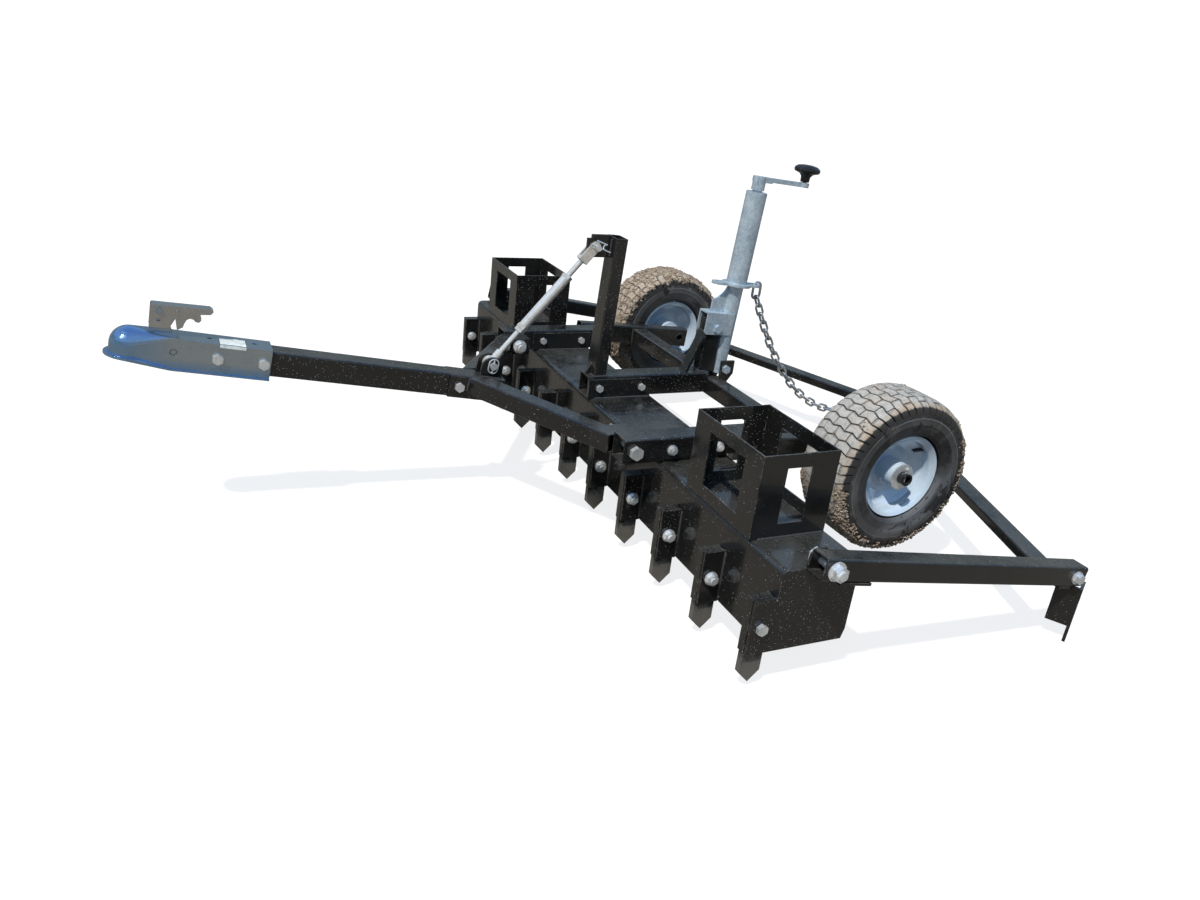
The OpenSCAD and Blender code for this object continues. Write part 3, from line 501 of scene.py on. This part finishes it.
def sidewall_rubber(side):
    """Rubber with smeared soil, a pale bloom that is partly real and partly a painted sky sheen low at the
    rear, wet marks and drops.
    """
    t = Rubber("tyre_rubber", side)
    groove_soil = t.times(t.span(t.radius, 0.146, 0.156), t.span(t.cloud, 0.46, 0.66, 0.04, 0.45))
    base = t.mix(groove_soil, t.black, t.mud)
    smear = t.span(t.noise(17.0, 7.0, 0.7, distortion=0.8), 0.52, 0.62)
    smear = t.times(smear, t.span(t.radius, 0.10, 0.15, 0.10, 0.55))
    base = t.mix(smear, base, t.mix(t.grit, (0.10, 0.092, 0.080), (0.26, 0.235, 0.205)))

    band = t.between(0.1150, 0.1165, 0.1300, 0.1315)
    base = t.mix(t.times(band, 0.30), base, (0.10, 0.10, 0.10))
    line = t.times(t.between(0.1285, 0.1294, 0.1300, 0.1308), t.span(t.cloud, 0.35, 0.6, 0.15, 0.6))
    base = t.mix(line, base, (0.22, 0.225, 0.23))

    # Painted sheen: a pale bluish patch low at the rear stands in for the sky's reflection; the drops below
    # gather in the same patch.
    low_rear = t.times(t.minus(t.rear, t.times(t.up, 1.1)), 0.7)
    low_rear = t.plus(low_rear, t.times(t.minus(t.cloud, 0.5), 0.12))
    low_rear = t.times(t.span(low_rear, 0.030, 0.085), t.span(t.radius, 0.128, 0.118))
    bloom_and_painted_sheen = t.larger(t.span(t.noise(8.0, 5.0, 0.6), 0.42, 0.60, 0.0, 0.22), t.times(low_rear, 0.62))
    base = t.mix(bloom_and_painted_sheen, base, (0.125, 0.135, 0.150))

    wet = t.span(t.noise(13.0, 6.0, 0.62, distortion=0.4), 0.55, 0.58)
    wet = t.times(wet, t.span(t.radius, 0.098, 0.108))
    base = t.mix(t.times(wet, 0.85), base, (0.005, 0.005, 0.006))
    drops = t.larger(t.specks(130.0, 0.30, 0.40), t.specks(80.0, 0.24, 0.25))
    drops = t.times(drops, t.larger(low_rear, t.span(t.noise(9.0, 2.0, 0.5), 0.50, 0.6)))
    base = t.mix(drops, base, (0.004, 0.004, 0.005))

    rough = t.plus(t.span(t.fine, 0.3, 0.8, 0.34, 0.50), t.span(t.cloud, 0.4, 0.6, 0.0, 0.2))
    height = t.plus(t.times(t.grit, 0.4), t.fine)
    t.set(Base_Color=base, Roughness=rough, Normal=t.bump(height, 0.22, 0.0005))
    return t.mat


def soil(name):
    t = Tree(name)
    grit = t.noise(260.0, 7.0, 0.75)
    pale = t.span(t.noise(30.0, 4.0, 0.6), 0.42, 0.62, 0.0, 0.6)
    base = t.mix(grit, (0.085, 0.062, 0.045), (0.31, 0.25, 0.19))
    base = t.mix(pale, base, (0.30, 0.265, 0.22))
    t.set(Base_Color=base, Roughness=0.95, Normal=t.bump(grit, 0.9, 0.001))
    return t.mat


# Plastic, weld metal, label film and floor

def knob_plastic():
    t = Tree("knob_plastic")
    fine = t.noise(300.0, 4.0, 0.6)
    worn = t.times(t.span(t.noise(40.0, 5.0, 0.65), 0.52, 0.7), 0.6)
    base = t.mix(worn, (0.010, 0.010, 0.012), (0.06, 0.058, 0.055))
    rough = t.span(fine, 0.3, 0.7, 0.28, 0.42)
    t.set(Base_Color=base, Roughness=rough, Normal=t.bump(fine, 0.12, 0.0003))
    return t.mat


def weld_metal():
    t = Tree("weld_bead")
    fine = t.noise(300.0, 5.0, 0.7)
    base = t.mix(fine, (0.012, 0.012, 0.013), (0.06, 0.06, 0.062))
    rough = t.span(fine, 0.3, 0.7, 0.28, 0.5)
    t.set(Base_Color=base, Roughness=rough, Normal=t.bump(fine, 0.5, 0.0008))
    return t.mat


def label_film():
    t = Tree("blank_label")
    worn = t.span(t.noise(70.0, 6.0, 0.7), 0.45, 0.62)
    base = t.mix(worn, (0.60, 0.64, 0.64), (0.36, 0.40, 0.41))
    normal = t.bump(t.noise(120.0, 3.0, 0.5), 0.15, 0.0004)
    t.set(Base_Color=base, Roughness=t.span(worn, 0, 1, 0.25, 0.45), Normal=normal)
    return t.mat


EARTH_COLOUR = (0.165, 0.150, 0.130)
FLOOR_GLOW = 1.02
FLOOR_GLOW_SHARE = 0.80


def floor_paint():
    """Pale to the camera with faint shadows; the light that it bounces has the tone of earth."""
    t = Tree("floor")
    shade = t.mix(t.noise(1.5, 3.0, 0.5), (0.93, 0.93, 0.93), (0.95, 0.95, 0.95))
    t.set(Base_Color=shade, Roughness=0.95, Specular_IOR_Level=0.1)
    earth = t.add("BsdfDiffuse")
    t.put(earth.inputs["Color"], EARTH_COLOUR)
    glow = t.add("Emission")
    glow.inputs["Strength"].default_value = FLOOR_GLOW
    faint = t.add("MixShader")
    faint.inputs["Fac"].default_value = FLOOR_GLOW_SHARE
    t.link(t.bsdf.outputs[0], faint.inputs[1])
    t.link(glow.outputs[0], faint.inputs[2])
    blend = t.add("MixShader")
    t.link(t.add("LightPath").outputs["Is Camera Ray"], blend.inputs["Fac"])
    t.link(earth.outputs[0], blend.inputs[1])
    t.link(faint.outputs[0], blend.inputs[2])
    t.link(blend.outputs[0], t.nt.nodes["Material Output"].inputs["Surface"])
    return t.mat


# Mesh helper

def new_object(name, bm, material, smooth=True):
    mesh = bpy.data.meshes.new(name)
    bm.normal_update()
    bm.to_mesh(mesh)
    bm.free()
    mesh.materials.append(material)
    if smooth:
        for poly in mesh.polygons:
            poly.use_smooth = True
    obj = bpy.data.objects.new(name, mesh)
    scene.collection.objects.link(obj)
    return obj


# The tyre's section, in mm as the source draws it

SECTION_RADIUS, HALF_HEIGHT, HALF_WIDTH = 123.0, 42.0, 68.0
TYRE_RADIUS = 165.0


def section(a, sink=0.0):
    """Radius and offset from the middle at angle a from the crown, sunk below the surface."""
    c, s = math.cos(a), math.sin(a)
    r = SECTION_RADIUS + (HALF_HEIGHT - sink) * math.copysign(abs(c) ** 0.55, c)
    x = (HALF_WIDTH - sink) * math.copysign(abs(s) ** 0.45, s)
    return r, x


def arc_table(steps=1440):
    """Arc length from the crown along one half of the section, with its angle."""
    rows = [(0.0, 0.0)]
    total = 0.0
    last = section(0.0)
    for i in range(1, steps + 1):
        a = math.pi * i / steps
        here = section(a)
        total += math.dist(last, here)
        rows.append((total, a))
        last = here
    return rows


ARC = arc_table()


def at_arc(v, sink=0.0):
    """Section point at arc length v from the crown, either side."""
    goal = abs(v)
    low, high = 0, len(ARC) - 1
    while high - low > 1:
        mid = (low + high) // 2
        if ARC[mid][0] < goal:
            low = mid
        else:
            high = mid
    part = (goal - ARC[low][0]) / max(ARC[high][0] - ARC[low][0], 1e-9)
    r, x = section(ARC[low][1] + part * (ARC[high][1] - ARC[low][1]), sink)
    return r, math.copysign(x, v) if v else 0.0


def wheel_point(side, r, x, ang):
    """A place in metres from radius and offset in mm and the angle round the axle."""
    return Vector((side * WHEEL_X + x * MM, WHEEL_Y + r * MM * math.cos(ang), WHEEL_Z + r * MM * math.sin(ang)))


# Carcass

CARCASS_ROWS = 160
CARCASS_REACH = 150.0
CARCASS_POINTS = 150
GROOVE_FLOOR = 4.2
# Arc lengths where the groove floor starts to rise and where the sidewall's rings begin
FLOOR_END, RINGS_FROM = 78, 86
BEAD_RADIUS = 90.5
BEAD_INSIDE = [(92.0, 54.5), (92.0, -54.5)]
# Radius, height and width of each ring on the sidewall
RINGS = ((129.5, 1.1, 1.0), (123.0, 0.3, 0.8), (115.8, 0.5, 0.9), (98.0, 1.2, 2.2))
BAND = (115.5, 129.5)
BAND_HEIGHT = 0.7


def ring_bumps(r):
    """A thin ring, the raised band inside it and the bead's ridge on the sidewall."""
    out = 0.0
    for centre, high, wide in RINGS:
        out += high * math.exp(-((r - centre) / wide) ** 2)
    band = 1 / (1 + math.exp(-(r - BAND[0]) / 0.5)) * 1 / (1 + math.exp((r - BAND[1]) / 0.5))
    return out + BAND_HEIGHT * band


def carcass_profile():
    """Radius and offset of each point round the carcass's section."""
    profile = []
    for i in range(CARCASS_POINTS + 1):
        v = -CARCASS_REACH + 2 * CARCASS_REACH * i / CARCASS_POINTS
        radius = at_arc(v)[0]
        if radius < BEAD_RADIUS:
            continue
        sink = GROOVE_FLOOR
        if abs(v) >= FLOOR_END:
            sink = max(0.0, GROOVE_FLOOR * (1 - (abs(v) - FLOOR_END) / 6))
        r, x = at_arc(v, sink)
        if abs(v) > RINGS_FROM:
            x += math.copysign(ring_bumps(radius) * 0.9, x)
        profile.append((r, x))
    return profile + BEAD_INSIDE


def make_carcass(side):
    word = SIDE_WORD[side]
    bm = bmesh.new()
    profile = carcass_profile()
    rows = []
    for j in range(CARCASS_ROWS):
        ang = math.tau * j / CARCASS_ROWS
        rows.append([bm.verts.new(wheel_point(side, r, x, ang)) for r, x in profile])
    for j, a in enumerate(rows):
        b = rows[(j + 1) % CARCASS_ROWS]
        for i in range(len(profile)):
            k = (i + 1) % len(profile)
            bm.faces.new((a[i], b[i], b[k], a[k]))
    bmesh.ops.recalc_face_normals(bm, faces=bm.faces)
    carcass = new_object("tyre_carcass_" + word, bm, sidewall_rubber(side))
    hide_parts("tyre_" + word)
    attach(carcass, "wheel_" + word)


# Tread, in mm along the section's arc and round the tyre

COLUMNS = 52
# Cross cuts of the even and of the odd columns
CUTS = (-54.0, -18.0, 18.0, 54.0), (-36.0, 0.0, 36.0)
# Offset from a cut's middle and depth below the surface
CUT_SHAPE = ((-1.9, 0.1), (-1.45, 0.6), (-1.25, 2.3), (1.25, 2.3), (1.45, 0.6), (1.9, 0.1))
CUT_CLEAR = 2.3
LUG_END = 84.0
LUG_FOOT = 4.4
ZIGZAG = 2.45
ZIGZAG_STEP = 18.0
SHOULDER = 54


def groove_line(v):
    """How far a groove's middle swings along the tread at arc length v."""
    v = abs(v)
    if v > SHOULDER:
        return ZIGZAG - 5.8 * min(1.0, (v - SHOULDER) / 21)
    step = (v / ZIGZAG_STEP) % 2
    return -ZIGZAG + 2 * ZIGZAG * (step if step < 1 else 2 - step)


def strip_places(cuts):
    """Arc lengths where a strip's section is drawn, in order, and its depth at the cuts."""
    places = {LUG_END, -LUG_END, LUG_END - 0.6, 0.6 - LUG_END, 0.0}
    places |= {ZIGZAG_STEP * k for k in range(-3, 4)}
    places |= {4.2 * k for k in range(-20, 21)}
    places = {v for v in places if all(abs(v - c) > CUT_CLEAR for c in cuts)}
    depth = {c + off: low for c in cuts for off, low in CUT_SHAPE}
    ordered = []
    for v in sorted(places | set(depth)):
        if not ordered or v - ordered[-1] >= 0.15:
            ordered.append(v)
    return ordered, depth


def tread_strip(bm, side, column):
    """One strip of tread from shoulder to shoulder, notched by its cross cuts."""
    pitch = math.tau / COLUMNS
    ordered, depth = strip_places(CUTS[column % 2])
    loops = []
    for v in ordered:
        top = depth.get(v, 0.1) + (0.9 if abs(v) >= LUG_END - 0.01 else 0.0)
        half_gap = 1.15 + 0.35 * max(0.0, min(1.0, (abs(v) - SHOULDER) / 12))
        sway = groove_line(v) / TYRE_RADIUS
        left = column * pitch + sway + half_gap / TYRE_RADIUS
        right = (column + 1) * pitch + sway - half_gap / TYRE_RADIUS
        lip = 0.5 / TYRE_RADIUS
        corners = ((left, LUG_FOOT), (left, top + 0.5), (left + lip, top), ((left + right) / 2, top - 0.1),
                   (right - lip, top), (right, top + 0.5), (right, LUG_FOOT))
        loops.append([bm.verts.new(wheel_point(side, *at_arc(v, low), ang)) for ang, low in corners])
    for a, b in zip(loops, loops[1:]):
        for k in range(7):
            bm.faces.new((a[k], a[(k + 1) % 7], b[(k + 1) % 7], b[k]))
    bm.faces.new(loops[0])
    bm.faces.new(loops[-1][::-1])


def make_tread(side):
    word = SIDE_WORD[side]
    bm = bmesh.new()
    for column in range(COLUMNS):
        tread_strip(bm, side, column)
    bmesh.ops.recalc_face_normals(bm, faces=bm.faces)
    tread = new_object("tyre_tread_" + word, bm, tread_rubber(side), smooth=False)
    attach(tread, "wheel_" + word)


# Soil on the tyres

def lump_ring(turn, z):
    return [(0.894 * math.cos((k + turn) * math.tau / 5), 0.894 * math.sin((k + turn) * math.tau / 5), z)
            for k in range(5)]


# A crumb is an icosahedron: top, upper ring, lower ring and bottom
LUMP_POINTS = [(0, 0, 1)] + lump_ring(0, 0.447) + lump_ring(0.5, -0.447) + [(0, 0, -1)]
LUMP_FACES = [(0, 1 + k, 1 + (k + 1) % 5) for k in range(5)]
LUMP_FACES += [(11, 6 + (k + 1) % 5, 6 + k) for k in range(5)]
LUMP_FACES += [(1 + k, 6 + k, 1 + (k + 1) % 5) for k in range(5)]
LUMP_FACES += [(6 + k, 6 + (k + 1) % 5, 1 + (k + 1) % 5) for k in range(5)]

SOIL_SEED = {1: 11, -1: 12}
LOW_HEAPS = 340
# Heaps anywhere on the tread, and how much larger than the rest a crumb may be
SPREAD_HEAPS = {1: 24, -1: 620}
LARGER_CRUMB = {1: 1.6, -1: 2.8}
SOIL_END = 82.0


def soil_heaps(rng, side):
    """Angle, arc length and spread of each heap."""
    heaps = []
    for _ in range(LOW_HEAPS):
        ang = math.radians(rng.uniform(184, 245) if rng.random() < 0.40 else rng.uniform(240, 388))
        heaps.append((ang, rng.choice((-1, 1)) * rng.uniform(44, 75), rng.uniform(2.5, 7)))
    for _ in range(SPREAD_HEAPS[side]):
        heaps.append((rng.uniform(0, math.tau), rng.uniform(-72, 72), rng.uniform(2, 6)))
    return heaps


def make_soil(side):
    """Crumbs of dried soil in heaps, mostly round the shoulders of the tyre's lower half."""
    word = SIDE_WORD[side]
    rng = random.Random(SOIL_SEED[side])
    points, faces = [], []
    for heap_ang, heap_v, spread in soil_heaps(rng, side):
        for _ in range(rng.randint(6, 13)):
            ang = heap_ang + rng.gauss(0, spread) / 160
            v = max(-SOIL_END, min(SOIL_END, heap_v + rng.gauss(0, spread)))
            size = rng.uniform(0.9, 2.0)
            if abs(v) > 40 or side < 0:
                size += rng.uniform(0, LARGER_CRUMB[side])
            r, x = at_arc(v, rng.uniform(-0.3, 0.7) * size)
            centre = wheel_point(side, r, x, ang)
            axis = Vector((rng.uniform(-1, 1), rng.uniform(-1, 1), rng.uniform(0.1, 1))).normalized()
            turn = Matrix.Rotation(rng.uniform(0, 6.28), 3, axis)
            first = len(points)
            for corner in LUMP_POINTS:
                points.append(turn @ Vector(corner) * size * rng.uniform(0.62, 1.2) * MM + centre)
            faces += [tuple(first + k for k in face) for face in LUMP_FACES]
    mesh = bpy.data.meshes.new("tyre_soil_" + word)
    mesh.from_pydata(points, [], faces)
    mesh.materials.append(soil("tyre_soil_" + word))
    lumps = bpy.data.objects.new("tyre_soil_" + word, mesh)
    scene.collection.objects.link(lumps)
    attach(lumps, "wheel_" + word)


# Places on the machine

def box_point(x, y, z):
    """A place measured in mm from the box's front top edge."""
    return Vector((x, y + 917, z - 140)) * MM


def tongue_point(x, y, z):
    """A place measured in mm along the tongue from the ball's centre."""
    c, s = math.cos(TONGUE_PITCH), math.sin(TONGUE_PITCH)
    return Vector((x, y * c + z * s, z * c - y * s)) * MM


# Weld beads and spots

BEAD_SIZE = 0.0023
BEAD_STEP = 0.0011
RIPPLE = 0.0042
BEAD_SIDES = 8
# The shanks' middles across the box, in mm
SHANKS = [(5 - i) * 158 for i in range(11)]


def sweep_bead(bm, path, rng):
    """A rippled tube along a path of points."""
    dense = []
    for a, b in zip(path, path[1:]):
        steps = max(2, int((b - a).length / BEAD_STEP))
        dense += [a.lerp(b, i / steps) for i in range(steps)]
    dense.append(path[-1])
    travelled = 0.0
    rings = []
    for i, p in enumerate(dense):
        ahead = (dense[min(i + 1, len(dense) - 1)] - dense[max(i - 1, 0)]).normalized()
        if i:
            travelled += (p - dense[i - 1]).length
        side = ahead.orthogonal().normalized()
        other = ahead.cross(side)
        ripple = 0.09 * abs(math.sin(math.pi * (travelled / RIPPLE)))
        size = BEAD_SIZE * (0.93 + ripple + rng.uniform(-0.02, 0.02))
        if i in (0, len(dense) - 1):
            size *= 0.45
        ring = []
        for k in range(BEAD_SIDES):
            ang = k * math.tau / BEAD_SIDES
            ring.append(bm.verts.new(p + (side * math.cos(ang) + other * math.sin(ang)) * size))
        rings.append(ring)
    for a, b in zip(rings, rings[1:]):
        for k in range(BEAD_SIDES):
            after = (k + 1) % BEAD_SIDES
            bm.faces.new((a[k], a[after], b[after], b[k]))
    bm.faces.new(rings[0][::-1])
    bm.faces.new(rings[-1])


def frame_beads():
    """Mast, jack stand, rail brackets, cages, wheel arms, pivot ears and the shanks' cheeks."""
    p = box_point
    paths = [[p(-25, 10.2, 50.5), p(25, 10.2, 50.5), p(25, 40.5, 50.5), p(-25, 40.5, 50.5), p(-25, 10.2, 50.5)]]
    for x in (-4, 4):
        paths.append([p(x, 23.8, 316), p(x, 25.6, 354)])
    paths.append([p(-15, 306, 50), p(-15, 289, 50), p(15, 289, 50), p(15, 306, 50)])
    paths.append([p(-15, 289, 131), p(-15, 289, 146), p(15, 289, 146), p(15, 289, 131)])
    for x in (323.5, -323.5, 31.5):
        paths.append([p(x, 14, 0.5), p(x, 150, 0.5)])
    for side in (-1, 1):
        for x in (485.5, 701.5):
            paths.append([p(side * x, 16, 0.5), p(side * x, 150, 0.5)])
        for y in (308, 348):
            paths.append([p(side * 380, y, -4), p(side * 380, y, 34)])
        for y in (49, 89):
            paths.append([p(side * 797, y, 1), p(side * 797, y, 14)])
    for x in SHANKS:
        for s in (-1, 1):
            if abs(x + s * 12) < 795:
                paths.append([p(x + s * 12.3, -0.3, -53), p(x + s * 12.3, -0.3, -146)])
    return paths


def drawbar_beads():
    """The arms' ends, the lugs and the cheek plates on the tongue."""
    q = tongue_point
    paths = []
    for side in (-1, 1):
        for y in (641, 691):
            paths.append([q(side * 31, y, -15), q(side * 31, y, 20)])
        paths.append([q(side * 19.4, 668, 23.6), q(side * 19.4, 712, 23.6)])
        paths.append([q(side * 25.5, 601, 21), q(side * 25.5, 695, 21)])
    return paths


def drag_beads():
    """The swept bars' outer ends, their meeting point and the chain's lug."""
    p = box_point
    paths = []
    for side in (-1, 1):
        for y in (573, 615):
            paths.append([p(side * 803, y, -80), p(side * 803, y, -60)])
    paths.append([p(0, 867, -59), p(0, 905, -59)])
    paths.append([p(3.2, 863, -82), p(3.2, 845, -84)])
    return paths


def make_beads():
    """Painted weld beads on three bodies, and bare weld spatter over the shanks' cheeks."""
    rng = random.Random(5)
    paint = weld_metal()
    sets = (("frame", frame_beads()), ("drawbar", drawbar_beads()), ("drag_frame", drag_beads()))
    for body, paths in sets:
        bm = bmesh.new()
        for path in paths:
            sweep_bead(bm, path, rng)
        obj = new_object("weld_beads_" + body, bm, paint)
        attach(obj, body)
    bm = bmesh.new()
    for i, x in enumerate(SHANKS):
        for s in (-1, 1):
            if rng.random() < 0.30 or i == 0:
                centre = box_point(x + s * (12 if i else 13), -1.0, -50.4 - rng.uniform(0, 2))
                made = bmesh.ops.create_icosphere(bm, subdivisions=2, radius=rng.uniform(1.0, 1.9) * MM)
                for v in made["verts"]:
                    v.co = Vector((v.co.x * 1.3, v.co.y, v.co.z)) * rng.uniform(0.92, 1.1) + centre
    bare = bright_metal("bare_weld", (0.35, 0.35, 0.34), (0.75, 0.75, 0.73), (0.25, 0.45), bevel=0.0003)
    spots = new_object("weld_spots", bm, bare)
    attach(spots, "frame")


# Label

# The label's section over the coupler's top and near edge, across and up in mm
LABEL_SECTION = [(-12.0, 28.12), (10.0, 28.12), (27.6, 28.12), (28.75, 27.75), (29.12, 26.6), (29.12, 21.0)]
LABEL_FROM, LABEL_LENGTH, LABEL_STEPS = 150, 46, 12


def make_label():
    """A blank pale film over the coupler's top and its near edge."""
    bm = bmesh.new()
    rows = []
    for j in range(LABEL_STEPS + 1):
        y = LABEL_FROM + LABEL_LENGTH * j / LABEL_STEPS
        rows.append([bm.verts.new(tongue_point(x, y, z)) for x, z in LABEL_SECTION])
    for a, b in zip(rows, rows[1:]):
        for k in range(len(LABEL_SECTION) - 1):
            bm.faces.new((a[k], b[k], b[k + 1], a[k + 1]))
    obj = new_object("blank_label", bm, label_film())
    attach(obj, "drawbar")


# Finishes on the CAD nodes

def slot_finishes():
    """The material of each slot that keeps its CAD shape."""
    return {
        "black_paint": black_paint("black_paint"),
        "scarifier_steel": black_paint("scarifier_steel", worn=True),
        "zinc_fasteners": bright_metal(
            "zinc_fasteners", (0.58, 0.62, 0.64), (0.94, 0.96, 0.97), (0.14, 0.32),
            metallic=0.70, bevel=0.0002, dirt=0.3),
        "coupler_zinc": bright_metal(
            "coupler_zinc", (0.43, 0.50, 0.56), (0.50, 0.57, 0.63), (0.20, 0.30),
            metallic=0.95, bevel=0.0020, spangle=0.02, dirt=0.03, dust_film_and_painted_sky=coupler_painted_sky),
        "turnbuckle_zinc": bright_metal(
            "turnbuckle_zinc", (0.66, 0.63, 0.58), (0.93, 0.90, 0.85), (0.16, 0.30),
            metallic=0.68, dirt=0.2),
        "knob_plastic": knob_plastic(),
        "jack_galvanised": bright_metal(
            "jack_galvanised", (0.28, 0.38, 0.46), (0.72, 0.84, 0.94), (0.24, 0.42),
            metallic=0.62, bevel=0.0010, spangle=0.55, dirt=0.12),
        "chain_zinc": bright_metal(
            "chain_zinc", (0.42, 0.43, 0.43), (0.72, 0.73, 0.73), (0.28, 0.44),
            metallic=0.85, bevel=0.0003, dirt=0.25),
        "rim_enamel": rim_enamel(),
    }


def dress_nodes():
    """Puts each slot's finish on its nodes; the latch lever has a finish of its own."""
    finish = slot_finishes()
    lever_zinc = bright_metal(
        "lever_zinc", (0.48, 0.49, 0.49), (0.60, 0.60, 0.59), (0.22, 0.34),
        metallic=0.95, bevel=0.0005, dirt=0.08)
    for part in frame["record"]["subparts"]:
        mat = lever_zinc if part["node"] == "coupler_lever" else finish.get(part["material_slot"])
        if mat is None:
            continue
        obj = nodes[part["node"]]
        if obj.material_slots:
            for slot in obj.material_slots:
                slot.material = mat
        else:
            obj.data.materials.append(mat)


# Floor

FLOOR_HALF = 20
FLOOR_GAP = 0.0005


def make_floor():
    """A wide plain floor just under the machine's lowest point."""
    bm = bmesh.new()
    bmesh.ops.create_grid(bm, x_segments=2, y_segments=2, size=FLOOR_HALF)
    for v in bm.verts:
        v.co.z = cad_box[0][2] - FLOOR_GAP
    obj = new_object("studio_floor", bm, floor_paint(), smooth=False)


scene.view_settings.view_transform = "Standard"
make_camera()
make_world()
make_lights()
dress_nodes()
for wheel_side in (1, -1):
    make_carcass(wheel_side)
    make_tread(wheel_side)
    make_soil(wheel_side)
make_beads()
make_label()
make_floor()
